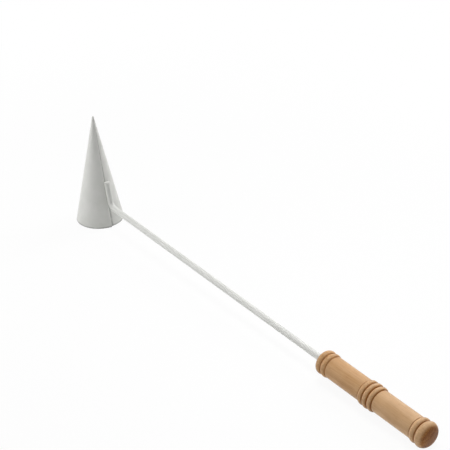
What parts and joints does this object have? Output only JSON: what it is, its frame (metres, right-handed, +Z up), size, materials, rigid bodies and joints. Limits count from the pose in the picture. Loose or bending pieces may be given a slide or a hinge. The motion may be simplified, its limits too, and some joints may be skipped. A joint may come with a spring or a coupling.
{
  "type": "candle snuffer",
  "caption": "Long-handled candle snuffer: a pointed sheet-steel cone welded to a bent steel rod with a turned beech handle, used to put out a candle flame.",
  "frame": {"origin": "on the table, midway along the snuffer's length and in the middle of its width, as it stands with its mouth down", "axes": "+Z up, along the cone's axis towards its tip; +X along the rod from the cone to the handle; +Y across, to the left of that direction"},
  "size_m": [0.4248, 0.0412, 0.0968],
  "materials": {
    "coated_sheet": "satin powder coat, warm light grey",
    "coated_rod": "satin powder coat, warm light grey",
    "coated_weld": "satin powder coat over the weld",
    "beech": "sanded beech, satin"
  },
  "bodies": {
    "root": {"cone_hood": "coated_sheet", "bent_rod": "coated_rod", "weld": "coated_weld", "handle": "beech"}
  },
  "joints": []
}
